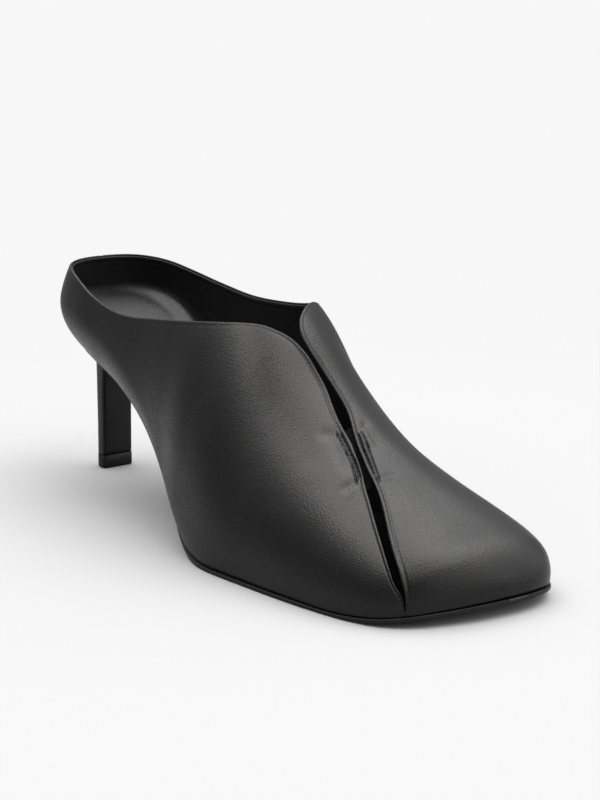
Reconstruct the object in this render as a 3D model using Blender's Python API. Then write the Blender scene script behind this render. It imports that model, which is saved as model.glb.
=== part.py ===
"""Heeled mule: a backless-look court mule for the right foot, with a slim covered heel.

One upper of two leather panels joined by a tack over the foot, a thin sole,
a padded insole, a slim heel block and its top piece. Toe points to -Y,
the outer (lateral) side of the foot is on -X and the floor is Z = 0.
"""
import math

import bmesh
import bpy
import numpy as np

# Driving sizes, metres
LENGTH = 0.2433            # heel cup back to toe tip
BALL_WIDTH = 0.083         # widest place of the forefoot
COLLAR_HEIGHT = 0.084      # floor to the top of the collar at the centre back
WALL = 0.0017              # upper leather and its lining together
SOLE_THICKNESS = 0.0015    # under the forefoot
SEAT_THICKNESS = 0.0017    # of the same sole where it runs between the upper and the heel
SOLE_LIP = 0.0005          # how far the sole stands proud of the upper at the forefoot
INSOLE_CLEARANCE = 0.0011  # room between the insole edge and the lining
FIT_GAP = 0.0003           # clearance between touching pieces
HEEL_PAD_DISH = 0.0016     # how deep the padded heel area is dished
TIP_HEIGHT = 0.0056        # top piece under the heel block
HEEL_CENTRE_ACROSS = -0.0008
NOSE_LENGTH = 0.0110       # rounded end of the toe box
NOSE_SQUARENESS = 2.3
RIDGE_SOFTNESS = 0.16      # share of the width over which the two sides blend
CUP_LENGTH = 0.0300        # rounded back of the heel cup
SLIT_END_RISE = 0.0016     # leather left under the toe end of the slit
END_MARGIN = 0.0002        # first and last stations stay this far inside the outline

# Mesh density
OUTLINE_STEPS = 24
RIB_ROWS = 13
RIB_SAMPLES = 160
HEEL_RING = 36
SOLE_STATIONS = 52
INSOLE_STATIONS = 36

# Widest contour seen from above, each side from the centre back to the toe tip
OUTLINE_COLUMNS = ("along", "across")
OUTLINE_LATERAL = (
    (0.0000, 0.0000),
    (0.0049, -0.1084),
    (0.0247, -0.2289),
    (0.0658, -0.3108),
    (0.1315, -0.3494),
    (0.2261, -0.3614),
    (0.3494, -0.3880),
    (0.4316, -0.4361),
    (0.5138, -0.5096),
    (0.6042, -0.5470),
    (0.7069, -0.5277),
    (0.8138, -0.4892),
    (0.8919, -0.4398),
    (0.9330, -0.3880),
    (0.9638, -0.2964),
    (0.9831, -0.1687),
    (0.9947, -0.0361),
    (1.0000, 0.0964),
)
OUTLINE_MEDIAL = (
    (0.0000, 0.0000),
    (0.0049, 0.1084),
    (0.0247, 0.2289),
    (0.0658, 0.3108),
    (0.1315, 0.3494),
    (0.2261, 0.3554),
    (0.3494, 0.3494),
    (0.4521, 0.3675),
    (0.5549, 0.4157),
    (0.6494, 0.4627),
    (0.7398, 0.4795),
    (0.8220, 0.4795),
    (0.8796, 0.4735),
    (0.9268, 0.4470),
    (0.9626, 0.3952),
    (0.9873, 0.3169),
    (0.9984, 0.2169),
    (1.0000, 0.0964),
)

# Sections across the foot: ridge and feather heights as shares of the collar height
SECTION_COLUMNS = ("along", "ridge_across", "ridge_up", "feather_up", "tuck", "tuck_up", "squareness",
                   "squareness_medial")
SECTIONS = (
    (0.0000, 0.0000, 1.2024, 0.6429, 0.1071, 0.2381, 2.2000, 2.2000),
    (0.1110, 0.0000, 1.2024, 0.6071, 0.1071, 0.2381, 2.2000, 2.2000),
    (0.2055, 0.0000, 1.2024, 0.5417, 0.0952, 0.2262, 2.2000, 2.2000),
    (0.3000, 0.0000, 1.2024, 0.4345, 0.0774, 0.2143, 2.2000, 2.2000),
    (0.3864, 0.0000, 1.1905, 0.2917, 0.0595, 0.1905, 2.2000, 2.2000),
    (0.4644, 0.0000, 1.1429, 0.1429, 0.0417, 0.1667, 2.1500, 2.2000),
    (0.5343, 0.0000, 1.0536, 0.0452, 0.0262, 0.1429, 2.1000, 2.3200),
    (0.5960, 0.0000, 0.9167, 0.0226, 0.0048, 0.1190, 2.1000, 1.8000),
    (0.6576, 0.0000, 0.7381, 0.0202, 0.0048, 0.1071, 2.1000, 1.7400),
    (0.7275, 0.0000, 0.5893, 0.0202, 0.0048, 0.0952, 2.1500, 1.7400),
    (0.8015, 0.0120, 0.4762, 0.0202, 0.0048, 0.0833, 2.3000, 1.9000),
    (0.8755, 0.0361, 0.3750, 0.0202, 0.0048, 0.0714, 2.5000, 2.2500),
    (0.9371, 0.0723, 0.2976, 0.0381, 0.0048, 0.0595, 2.7000, 2.6000),
    (1.0000, 0.0964, 0.2381, 0.0738, 0.0048, 0.0595, 2.8000, 2.9000),
)

# Collar height by share of the base line, from the centre back toward the throat
COLLAR_COLUMNS = ("base_share", "up")
COLLAR_LATERAL = (
    (0, 1.0024),
    (0.0730, 1.0000),
    (0.1340, 0.9881),
    (0.1900, 0.9524),
    (0.2320, 0.9119),
    (0.2750, 0.8810),
    (0.3150, 0.8667),
    (0.3570, 0.8690),
    (0.4000, 0.8833),
    (0.4750, 0.9095),
    (0.5480, 0.9357),
    (0.5850, 0.9452),
)
COLLAR_MEDIAL = (
    (0, 1.0024),
    (0.0600, 0.9976),
    (0.1250, 0.9738),
    (0.1800, 0.9452),
    (0.2430, 0.9202),
    (0.3000, 0.9095),
    (0.3700, 0.9238),
    (0.4200, 0.9464),
    (0.4500, 0.9667),
)

# Edges of the slit, from the shoulders of the throat down to the toe corner
SLIT_COLUMNS = ("base_share", "along", "across")
SLIT_LATERAL = (
    (0.6340, 0.5820, -0.1373),
    (0.6570, 0.6062, -0.0807),
    (0.6720, 0.6227, -0.0578),
    (0.6970, 0.6453, -0.0482),
    (0.7140, 0.6642, -0.0482),
    (0.7350, 0.6885, -0.0663),
    (0.7550, 0.7111, -0.0843),
    (0.7740, 0.7337, -0.0952),
    (0.7900, 0.7480, -0.1024),
    (0.8080, 0.7665, -0.1205),
    (0.8380, 0.7974, -0.1578),
    (0.8530, 0.8138, -0.1831),
    (0.8800, 0.8418, -0.2205),
    (0.9080, 0.8693, -0.2578),
    (0.9420, 0.9022, -0.2988),
    (0.9670, 0.9268, -0.3265),
    (0.9840, 0.9433, -0.3361),
    (1.0000, 0.9593, -0.3181),
)
SLIT_MEDIAL = (
    (0.4640, 0.5368, 0.1807),
    (0.4730, 0.5471, 0.1349),
    (0.4810, 0.5590, 0.0831),
    (0.4890, 0.5697, 0.0410),
    (0.5000, 0.5828, -0.0048),
    (0.5090, 0.5935, -0.0277),
    (0.5200, 0.6062, -0.0398),
    (0.5330, 0.6219, -0.0373),
    (0.5470, 0.6371, -0.0289),
    (0.5620, 0.6576, -0.0193),
    (0.5850, 0.6815, -0.0169),
    (0.6030, 0.7004, -0.0229),
    (0.6200, 0.7180, -0.0410),
    (0.6350, 0.7337, -0.0627),
    (0.6550, 0.7497, -0.0819),
    (0.6750, 0.7698, -0.1024),
    (0.7150, 0.7974, -0.1313),
    (0.7420, 0.8200, -0.1518),
    (0.7900, 0.8487, -0.1855),
    (0.8350, 0.8775, -0.2289),
    (0.8800, 0.9022, -0.2663),
    (0.9200, 0.9207, -0.2904),
    (0.9600, 0.9392, -0.3096),
    (0.9850, 0.9515, -0.3181),
    (1.0000, 0.9593, -0.3181),
)

# Insole top over the feather line: built up and padded under the heel
INSOLE_COLUMNS = ("along", "thick")
INSOLE_ROWS = (
    (0.0000, 0.2262),
    (0.0575, 0.2286),
    (0.1110, 0.2167),
    (0.2055, 0.1667),
    (0.3000, 0.1250),
    (0.3864, 0.0952),
    (0.4644, 0.0714),
    (0.5343, 0.0548),
    (0.5960, 0.0429),
    (0.7398, 0.0357),
    (1.0000, 0.0310),
)

# Rib spacing: share where a run starts, share where it ends, number of ribs
RUN_COLUMNS = ("start", "end", "count")
RUNS_LATERAL = (
    (0.0000, 0.2000, 11),
    (0.2000, 0.5850, 14),
    (0.5850, 0.6890, 8),
    (0.6890, 0.7760, 6),
    (0.7760, 0.8460, 4),
    (0.8460, 1.0000, 9),
)
RUNS_MEDIAL = (
    (0.0000, 0.1600, 11),
    (0.1600, 0.4500, 11),
    (0.4500, 0.5430, 8),
    (0.5430, 0.6370, 6),
    (0.6370, 0.7330, 4),
    (0.7330, 1.0000, 12),
)
TACK_RUN = 4               # which run of both lists is joined by the tack

# Heel block rings from the seat down: rise share over the top piece, back, front, half width
# and how far the ring follows the slope of the seat
HEEL_COLUMNS = ("up", "back", "front", "half_width", "slope")
HEEL_RINGS = (
    (0.5500, 0.0436, 0.1315, 0.1880, 1.0000),
    (0.5339, 0.0415, 0.1258, 0.1759, 0.9700),
    (0.4964, 0.0395, 0.1085, 0.1398, 0.8000),
    (0.4536, 0.0382, 0.0912, 0.1024, 0.5000),
    (0.4000, 0.0378, 0.0797, 0.0867, 0.2000),
    (0.3464, 0.0374, 0.0756, 0.0819, 0.0500),
    (0.2500, 0.0370, 0.0744, 0.0801, 0.0000),
    (0.0893, 0.0370, 0.0732, 0.0795, 0.0000),
    (0.0000, 0.0366, 0.0723, 0.0795, 0.0000),
)


def table_value(table, columns, name, where):
    """Smooth value of one named column of a table, found along its first column."""
    rows = np.array(table, float)
    xp = rows[:, 0]
    yp = rows[:, columns.index(name)]
    slope = np.gradient(yp, xp)
    x = np.clip(np.asarray(where, float), xp[0], xp[-1])
    i = np.clip(np.searchsorted(xp, x, side="right") - 1, 0, len(xp) - 2)
    h = xp[i + 1] - xp[i]
    t = (x - xp[i]) / h
    start = (2 * t**3 - 3 * t**2 + 1) * yp[i] + (t**3 - 2 * t**2 + t) * h * slope[i]
    end = (3 * t**2 - 2 * t**3) * yp[i + 1] + (t**3 - t**2) * h * slope[i + 1]
    return start + end


def section(name, along):
    """Column of the section table in metres (or plain for the squareness)."""
    value = table_value(SECTIONS, SECTION_COLUMNS, name, np.asarray(along, float) / LENGTH)
    plain = name.startswith("squareness")
    return value if plain else value * (BALL_WIDTH if name == "ridge_across" else COLLAR_HEIGHT)


def smooth_path(points, steps):
    """Centripetal curve through plan points."""
    p = np.array(points, float)
    p = np.vstack([2 * p[0] - p[1], p, 2 * p[-1] - p[-2]])
    path = []
    for i in range(1, len(p) - 2):
        p0, p1, p2, p3 = p[i - 1:i + 3]
        t1 = np.linalg.norm(p1 - p0) ** 0.5
        t2 = t1 + np.linalg.norm(p2 - p1) ** 0.5
        t3 = t2 + np.linalg.norm(p3 - p2) ** 0.5
        for t in np.linspace(t1, t2, steps, endpoint=False):
            a1 = (t1 - t) / t1 * p0 + t / t1 * p1
            a2 = (t2 - t) / (t2 - t1) * p1 + (t - t1) / (t2 - t1) * p2
            a3 = (t3 - t) / (t3 - t2) * p2 + (t - t2) / (t3 - t2) * p3
            b1 = (t2 - t) / t2 * a1 + t / t2 * a2
            b2 = (t3 - t) / (t3 - t1) * a2 + (t - t1) / (t3 - t1) * a3
            path.append((t2 - t) / (t2 - t1) * b1 + (t - t1) / (t2 - t1) * b2)
    path.append(p[-2])
    return np.array(path)


def make_outline():
    """Closed plan path from the toe tip over the lateral side and back over the medial side."""
    lateral = [(a * LENGTH, x * BALL_WIDTH) for a, x in OUTLINE_LATERAL]
    medial = [(a * LENGTH, x * BALL_WIDTH) for a, x in OUTLINE_MEDIAL]
    path = smooth_path(lateral[::-1] + medial[1:], OUTLINE_STEPS)
    back = int(np.argmin(path[:, 0]))
    return path[:back + 1][::-1], path[back:]


LATERAL_PATH, MEDIAL_PATH = make_outline()


def half_outline(along, side):
    """Across position of the widest contour on one side."""
    path = LATERAL_PATH if side < 0 else MEDIAL_PATH
    return np.interp(along, np.maximum.accumulate(path[:, 0]), path[:, 1])


def rise_at(along, across):
    """Height of the upper's outer face over the feather line at a plan point."""
    ridge = section("ridge_across", along)
    full = section("ridge_up", along) - section("feather_up", along)
    back_power = section("squareness", along)
    width = np.where(across < ridge, ridge - half_outline(along, -1), half_outline(along, 1) - ridge)
    share = np.clip(np.abs(across - ridge) / np.maximum(width, 1e-6), 0, 1)
    medial = (across > ridge) * (1 - np.exp(-(share / RIDGE_SOFTNESS) ** 2))
    power = back_power + medial * (section("squareness_medial", along) - back_power)
    nose = np.clip((along - (LENGTH - NOSE_LENGTH)) / NOSE_LENGTH, 0, 1)
    cup = np.clip(1 - along / CUP_LENGTH, 0, 1)
    shape = (1 - share**power) ** (1 / power)
    shape = shape * (1 - nose**NOSE_SQUARENESS) ** (1 / NOSE_SQUARENESS)
    return full * shape * (1 - cup**back_power) ** (1 / back_power)


def tuck_at(rise, along):
    """How far the wall is drawn in under its widest place."""
    depth = section("tuck", along)
    return depth * np.clip(1 - rise / section("tuck_up", along), 0, 1) ** 2


def base_line(side, slit_base):
    """Plan path, its outward directions and arc shares from the centre back to the slit end."""
    if side < 0:
        path = LATERAL_PATH
    else:
        path = np.vstack([MEDIAL_PATH, LATERAL_PATH[::-1][1:]])
    step = np.linalg.norm(np.diff(path, axis=0), axis=1)
    arc = np.concatenate([[0], np.cumsum(step)])
    tangent = np.gradient(path, axis=0)
    tangent /= np.linalg.norm(tangent, axis=1)[:, None]
    out = np.stack([-tangent[:, 1], tangent[:, 0]], -1)
    middle = np.array([LENGTH * 0.5, 0])
    if ((path[len(path) // 3] - middle) @ out[len(path) // 3]) < 0:
        out = -out
    return path, out, arc / arc[slit_base]


def slit_base_indices():
    """Index of the slit end on the lateral path and on the long medial path."""
    end = np.array([SLIT_LATERAL[-1][1] * LENGTH, SLIT_LATERAL[-1][2] * BALL_WIDTH])
    near = int(np.argmin(np.linalg.norm(LATERAL_PATH - end, axis=1)))
    return near, len(MEDIAL_PATH) - 1 + len(LATERAL_PATH) - 1 - near


def inward_target(base):
    """Point the rib of a base point leans toward, seen from above."""
    along = np.maximum(base[0], CUP_LENGTH)
    return np.array([along, section("ridge_across", along)])


def collar_point(base, height):
    """Plan point on the way inward where the outer face reaches a height."""
    target = inward_target(base)
    low, high = 0.0, 1.0
    for _ in range(40):
        mid = (low + high) / 2
        point = base + (target - base) * mid
        reached = section("feather_up", point[0]) + rise_at(point[0], point[1])
        if reached < height:
            low = mid
        else:
            high = mid
    return base + (target - base) * low


def top_point(side, share, base_at):
    """Plan point of the top edge, on the collar or on the slit edge."""
    collar = COLLAR_LATERAL if side < 0 else COLLAR_MEDIAL
    slit = SLIT_LATERAL if side < 0 else SLIT_MEDIAL
    last = collar[-1][0]
    if share <= last:
        height = table_value(collar, COLLAR_COLUMNS, "up", share) * COLLAR_HEIGHT
        return collar_point(base_at(share), height)
    rows = []
    for early in (0.06, 0.03, 0.0):
        up = table_value(collar, COLLAR_COLUMNS, "up", last - early) * COLLAR_HEIGHT
        point = collar_point(base_at(last - early), up)
        rows.append((last - early, point[0], point[1]))
    rows += [(s, a * LENGTH, x * BALL_WIDTH) for s, a, x in slit]
    along = table_value(rows, SLIT_COLUMNS, "along", share)
    across = table_value(rows, SLIT_COLUMNS, "across", share)
    return np.array([float(along), float(across)])


def rib(base, top, out, rows):
    """Evenly spaced points of the outer face from the feather line to the top edge."""
    spread = (1 - np.cos(np.linspace(0, math.pi / 2, RIB_SAMPLES))) ** 1.3
    plan = base + (top - base) * spread[:, None]
    rise = rise_at(plan[:, 0], plan[:, 1])
    rise = rise - rise[0] * (1 - spread)
    height = section("feather_up", plan[:, 0]) + rise
    plan = plan - out * tuck_at(rise, plan[:, 0])[:, None]
    points = np.column_stack([plan[:, 1], plan[:, 0], height])
    walked = np.concatenate([[0], np.cumsum(np.linalg.norm(np.diff(points, axis=0), axis=1))])
    even = np.linspace(0, walked[-1], rows)
    return np.column_stack([np.interp(even, walked, points[:, k]) for k in range(3)])


def run_shares(runs):
    """Rib shares of one side and the index range of every run."""
    shares = []
    spans = []
    for start, end, count in runs:
        first = len(shares)
        shares += list(np.linspace(start, end, count, endpoint=False))
        spans.append((first, first + count))
    return shares, spans


def upper_ribs():
    """All ribs as one closed loop, with the two tack spans in loop order."""
    lateral_end, medial_end = slit_base_indices()
    loop = []
    tack = []
    sides = ((-1, RUNS_LATERAL, lateral_end), (1, RUNS_MEDIAL, medial_end))
    for side, runs, end in sides:
        path, out, shares_of_path = base_line(side, end)

        def base_at(share):
            return np.array([np.interp(share, shares_of_path, path[:, k]) for k in range(2)])

        def out_at(share):
            return np.array([np.interp(share, shares_of_path, out[:, k]) for k in range(2)])

        shares, spans = run_shares(runs)
        ribs = []
        for share in shares:
            base = base_at(share)
            ribs.append(rib(base, top_point(side, share, base_at), out_at(share), RIB_ROWS))
        if side < 0:
            base = base_at(1.0)
            low_edge = collar_point(base, section("feather_up", base[0]) + SLIT_END_RISE)
            end_rib = rib(base, low_edge, out_at(1.0), RIB_ROWS)
            loop = [end_rib] + ribs[::-1]
            span = spans[TACK_RUN]
            tack.append([len(loop) - 1 - i for i in range(span[0], span[1] + 1)])
        else:
            span = spans[TACK_RUN]
            tack.append([len(loop) - 1 + i for i in range(span[0], span[1] + 1)])
            loop += ribs[1:]
    return np.array(loop), tack


def wall_normals(grid):
    """Outward normals of the closed rib grid."""
    along_loop = np.roll(grid, -1, axis=0) - np.roll(grid, 1, axis=0)
    up_rib = np.gradient(grid, axis=1)
    normal = np.cross(along_loop, up_rib)
    normal /= np.linalg.norm(normal, axis=2)[..., None]
    middle = np.array([0, LENGTH * 0.5, 0.02])
    if ((grid[:, 2] - middle) * normal[:, 2]).sum() < 0:
        normal = -normal
    return normal


def upper_mesh():
    """Vertices and faces of the hollow upper, with the tack joining the two panels."""
    outer, tack = upper_ribs()
    inner = outer - wall_normals(outer) * WALL
    inner[:, 0, 2] = outer[:, 0, 2]
    count, rows = outer.shape[:2]
    verts = np.concatenate([outer.reshape(-1, 3), inner.reshape(-1, 3)])
    lift = count * rows

    def o(i, j):
        return (i % count) * rows + j

    faces = []
    lateral, medial = tack
    joined = set()
    for pair in (lateral, medial):
        for a, b in zip(pair[:-1], pair[1:]):
            joined.add(min(a, b))
    top = rows - 1
    for i in range(count):
        for j in range(rows - 1):
            faces.append((o(i, j), o(i + 1, j), o(i + 1, j + 1), o(i, j + 1)))
            faces.append(tuple(lift + v for v in (o(i, j + 1), o(i + 1, j + 1), o(i + 1, j), o(i, j))))
        faces.append((o(i + 1, 0), o(i, 0), lift + o(i, 0), lift + o(i + 1, 0)))
        if i not in joined:
            faces.append((o(i, top), o(i + 1, top), lift + o(i + 1, top), lift + o(i, top)))
    for (la, lb), (ma, mb) in zip(zip(lateral[:-1], lateral[1:]), zip(medial[:-1], medial[1:])):
        ring = (o(la, top), o(lb, top), o(mb, top), o(ma, top))
        faces.append(ring)
        faces.append(tuple(lift + v for v in ring[::-1]))
    for end in (0, -1):
        a, b = lateral[end], medial[end]
        faces.append((o(a, top), o(b, top), lift + o(b, top), lift + o(a, top)))
    return verts, faces


def side_outward(path, side):
    """Outward plan directions along one side path."""
    tangent = np.gradient(path, axis=0)
    tangent /= np.linalg.norm(tangent, axis=1)[:, None]
    return np.stack([-tangent[:, 1], tangent[:, 0]], -1) * (1 if side > 0 else -1)


def drawn_in(side, inset):
    """Side path moved inward by an inset given as a function of the position along."""
    path = LATERAL_PATH if side < 0 else MEDIAL_PATH
    return path - side_outward(path, side) * inset(path[:, 0])[:, None]


def across_at(path, along):
    """Across position of a moved side path."""
    return float(np.interp(along, np.maximum.accumulate(path[:, 0]), path[:, 1]))


def sole_inset(along):
    """Sole edge measured inward from the widest contour: tucked waist, proud forefoot."""
    lip = np.interp(along / LENGTH, (0.30, 0.46, 0.56), (-0.0014, -0.0004, SOLE_LIP))
    return section("tuck", along) - lip


def sole_thickness(along):
    """Sole thickness, thinner toward the heel seat."""
    return np.interp(along / LENGTH, (0.25, 0.55), (SEAT_THICKNESS, SOLE_THICKNESS))


def sole_mesh():
    """Thin sole from under the seat to the toe: true outline, waist, ball and toe rise."""
    paths = [drawn_in(side, sole_inset) for side in (-1, 1)]
    start = max(path[:, 0].min() for path in paths) + END_MARGIN / 2
    end = min(path[:, 0].max() for path in paths) - END_MARGIN / 2
    rings = []
    for share in np.linspace(0, 1, SOLE_STATIONS):
        along = start + (end - start) * (1 - math.cos(share * math.pi)) / 2
        left, right = (across_at(path, along) for path in paths)
        top = float(section("feather_up", along)) - FIT_GAP
        under = top - float(sole_thickness(along))
        if along > 0.5 * LENGTH:
            under = max(under, 0.0)
        edge = min(0.0005, 0.2 * (right - left))
        across = np.linspace(left, right, 6)[1:-1]
        ring = [(left, along, top - 0.0004), (left + edge, along, top)]
        ring += [(x, along, top) for x in across]
        ring += [(right - edge, along, top), (right, along, top - 0.0004)]
        ring += [(right, along, under + 0.0006), (right - edge, along, under)]
        ring += [(x, along, under) for x in across[::-1]]
        ring += [(left + edge, along, under), (left, along, under + 0.0006)]
        rings.append(ring)
    return loft(rings)


def insole_rise(along):
    """Height of the insole top over the feather line."""
    return table_value(INSOLE_ROWS, INSOLE_COLUMNS, "thick", np.asarray(along) / LENGTH) * COLLAR_HEIGHT


def lining_path(side, level):
    """Plan path of the insole edge against the lining at a share of the insole rise."""
    path = LATERAL_PATH if side < 0 else MEDIAL_PATH
    along = np.maximum(path[:, 0], CUP_LENGTH)
    target = np.column_stack([along, section("ridge_across", along)])
    wanted = insole_rise(path[:, 0]) * level
    low, high = np.zeros(len(path)), np.ones(len(path))
    for _ in range(30):
        mid = (low + high) / 2
        point = path + (target - path) * mid[:, None]
        under = rise_at(point[:, 0], point[:, 1]) < wanted
        low = np.where(under, mid, low)
        high = np.where(under, high, mid)
    point = path + (target - path) * low[:, None]
    inset = tuck_at(wanted, point[:, 0]) + WALL + INSOLE_CLEARANCE
    return point - side_outward(path, side) * inset[:, None]


def insole_mesh():
    """Insole built up and gently dished under the heel, following the inside of the upper."""
    levels = (0.0, 0.2, 0.45, 0.75, 1.0)
    walls = [[lining_path(side, level) for side in (-1, 1)] for level in levels]
    start = max(path[:, 0].min() for path in walls[0]) + END_MARGIN
    end = min(path[:, 0].max() for path in walls[0]) - END_MARGIN
    share = np.linspace(0, 1, INSOLE_STATIONS)
    rings = []
    for part in share:
        low_station = start + (end - start) * (1 - math.cos(part * math.pi)) / 2
        sides = []
        for level, pair in zip(levels, walls):
            back = max(path[:, 0].min() for path in pair) + END_MARGIN
            front = min(path[:, 0].max() for path in pair) - END_MARGIN
            along = back + (front - back) * (low_station - start) / (end - start)
            up = float(section("feather_up", along)) + FIT_GAP / 3 + float(insole_rise(along)) * level
            sides.append((across_at(pair[0], along), across_at(pair[1], along), along, up))
        left, right, along, up = sides[0]
        ring = [(x, along, up) for x in np.linspace(right, left, 5)]
        ring += [(row[0], row[2], row[3]) for row in sides[1:-1]]
        left, right, along, up = sides[-1]
        depth = HEEL_PAD_DISH * np.interp(along / LENGTH, (0.02, 0.08, 0.24, 0.36), (0, 1, 1, 0))
        for spot in np.linspace(0, 1, 9):
            middle = 1 - (2 * spot - 1) ** 2
            ring.append((left + (right - left) * spot, along, up - depth * middle ** 2))
        ring += [(row[1], row[2], row[3]) for row in sides[1:-1][::-1]]
        rings.append(ring)
    return loft(rings)


def heel_ring(row, up):
    """One D-shaped ring of the heel block."""
    back, front = row[1] * LENGTH, row[2] * LENGTH
    half = row[3] * BALL_WIDTH
    slope = row[4]
    middle = front - 0.34 * (front - back)
    ring = []
    for angle in np.linspace(0, 2 * math.pi, HEEL_RING, endpoint=False):
        c, s = math.cos(angle), math.sin(angle)
        power = 9.0 if s > 0 else 2.0
        reach = (front - middle) if s > 0 else (middle - back)
        across = HEEL_CENTRE_ACROSS * (1 - slope) + half * math.copysign(abs(c) ** (2 / power), c)
        along = middle + reach * math.copysign(abs(s) ** (2 / power), s)
        seat = float(section("feather_up", along)) - 2 * FIT_GAP - float(sole_thickness(along))
        ring.append((across, along, up * (1 - slope) + seat * slope))
    return ring


def heel_mesh():
    """Slim heel block: seat, quick taper to a near-straight column with a flat breast."""
    reach = COLLAR_HEIGHT - TIP_HEIGHT
    return loft([heel_ring(row, TIP_HEIGHT + row[0] * reach) for row in HEEL_RINGS])


def tip_mesh():
    """Top piece under the heel block."""
    last = HEEL_RINGS[-1]
    rings = []
    levels = ((TIP_HEIGHT - FIT_GAP, 0.0001), (0.0006, 0.0001), (0.0, -0.0004))
    for up, grow in levels:
        row = (0, last[1] - grow / LENGTH, last[2] + grow / LENGTH, last[3] + grow / BALL_WIDTH, 0.0)
        rings.append(heel_ring(row, up))
    return loft(rings)


def loft(rings):
    """Closed solid through equal rings with flat ends."""
    count = len(rings[0])
    verts = np.array([p for ring in rings for p in ring])
    faces = []
    for i in range(len(rings) - 1):
        for j in range(count):
            k = (j + 1) % count
            faces.append((i * count + j, i * count + k, (i + 1) * count + k, (i + 1) * count + j))
    faces.append(tuple(range(count))[::-1])
    faces.append(tuple((len(rings) - 1) * count + j for j in range(count)))
    return verts, faces


def make_material(name, colour, roughness):
    """Plain principled material of one sub-part."""
    material = bpy.data.materials.new(name)
    material.use_nodes = True
    shader = material.node_tree.nodes["Principled BSDF"]
    shader.inputs["Base Color"].default_value = (*colour, 1.0)
    shader.inputs["Roughness"].default_value = roughness
    return material


def make_piece(name, mesh_data, shift, material, collection):
    """Mesh object of one sub-part, set in the shared frame."""
    verts, faces = mesh_data
    placed = np.column_stack([verts[:, 0] - shift[0], shift[1] - verts[:, 1], verts[:, 2] - shift[2]])
    mesh = bpy.data.meshes.new(name)
    mesh.from_pydata(placed.tolist(), [], faces)
    work = bmesh.new()
    work.from_mesh(mesh)
    bmesh.ops.recalc_face_normals(work, faces=work.faces)
    work.to_mesh(mesh)
    work.free()
    mesh.shade_smooth()
    mesh.materials.append(material)
    piece = bpy.data.objects.new(name, mesh)
    collection.objects.link(piece)
    return piece


for old in list(bpy.data.objects):
    bpy.data.objects.remove(old, do_unlink=True)
shoe = bpy.data.collections.new("heeled_mule")
bpy.context.scene.collection.children.link(shoe)

PIECES = (
    ("upper", upper_mesh(), (0.012, 0.012, 0.012), 0.42),
    ("sole", sole_mesh(), (0.015, 0.015, 0.015), 0.60),
    ("insole", insole_mesh(), (0.010, 0.010, 0.010), 0.60),
    ("heel", heel_mesh(), (0.012, 0.012, 0.012), 0.45),
    ("heel_tip", tip_mesh(), (0.018, 0.018, 0.018), 0.65),
)
every = np.concatenate([data[0] for _, data, _, _ in PIECES])
low, high = every.min(axis=0), every.max(axis=0)
SHIFT = ((low[0] + high[0]) / 2, (low[1] + high[1]) / 2, low[2])
for piece_name, data, colour, roughness in PIECES:
    make_piece(piece_name, data, SHIFT, make_material(piece_name, colour, roughness), shoe)
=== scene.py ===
"""Heeled mule, right shoe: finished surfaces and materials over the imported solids."""
import math

import bmesh
import bpy
import numpy as np
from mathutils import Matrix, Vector


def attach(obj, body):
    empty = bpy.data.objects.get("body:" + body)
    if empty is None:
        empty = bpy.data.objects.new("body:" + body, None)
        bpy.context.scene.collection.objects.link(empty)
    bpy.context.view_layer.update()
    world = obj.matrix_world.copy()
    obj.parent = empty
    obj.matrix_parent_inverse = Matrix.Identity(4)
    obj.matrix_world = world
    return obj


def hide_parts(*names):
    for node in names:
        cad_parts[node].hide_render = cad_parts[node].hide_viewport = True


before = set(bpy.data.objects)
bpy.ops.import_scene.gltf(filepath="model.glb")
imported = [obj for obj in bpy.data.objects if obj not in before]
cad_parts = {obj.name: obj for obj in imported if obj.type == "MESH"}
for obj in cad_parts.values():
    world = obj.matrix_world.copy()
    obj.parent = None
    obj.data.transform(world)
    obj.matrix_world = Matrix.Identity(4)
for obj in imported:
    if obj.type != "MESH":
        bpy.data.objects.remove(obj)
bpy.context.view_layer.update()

# View and light. The shoe stands on a pale floor under a wide overhead light that leans to
# the back and the inner side, seen from the front of its outer side, a little from above.
EYE = Vector((-0.38341, -0.55565, 0.2084))
AIM = Vector((0.0105, -0.0080, 0.0480))
LENS_MM = 118.0
FLOOR_RADIUS = 6.0
WHITE = 0.930
# Brightness of the surroundings by the cosine of the angle to the leaning axis
SKY_AXIS = (0.068, 0.039, 0.997)
SKY_STEPS = ((-1.0, 0.20), (0.0, 0.25), (0.22, 0.36), (0.44, 0.55), (0.60, 0.90), (0.72, 1.4), (0.80, 3.4),
             (0.86, 4.9), (0.93, 5.1), (1.0, 4.2))
# Darker gap between two lamps of the overhead light
LAMP_GAP = (-0.21, -0.25, 0.945)
GAP_SPAN = (0.965, 0.996)
GAP_SHADE = 0.78
SKY_TOP = 5.1
SIDE_LIGHT = (0.63, -0.75, 0.20)
SIDE_SPAN = (0.45, 0.95)
SIDE_STRENGTH = 1.5
NEAR_FLOOR = 0.395          # paleness of the floor to the eye
MIRRORED_NEAR = 0.28        # and as the shoe mirrors it, near and far
MIRRORED_FAR = 0.36
FLOOR_SPAN = (0.17, 0.42)   # distance from the shoe's middle over which near turns to far

camera_data = bpy.data.cameras.new("camera")
camera_data.sensor_fit = "HORIZONTAL"
camera_data.sensor_width = 36
camera_data.lens = LENS_MM
camera = bpy.data.objects.new("camera", camera_data)
camera.location = EYE
camera.rotation_euler = (AIM - EYE).to_track_quat("-Z", "Y").to_euler()
bpy.context.scene.collection.objects.link(camera)
bpy.context.scene.camera = camera
bpy.context.scene.view_settings.view_transform = "Standard"

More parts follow.
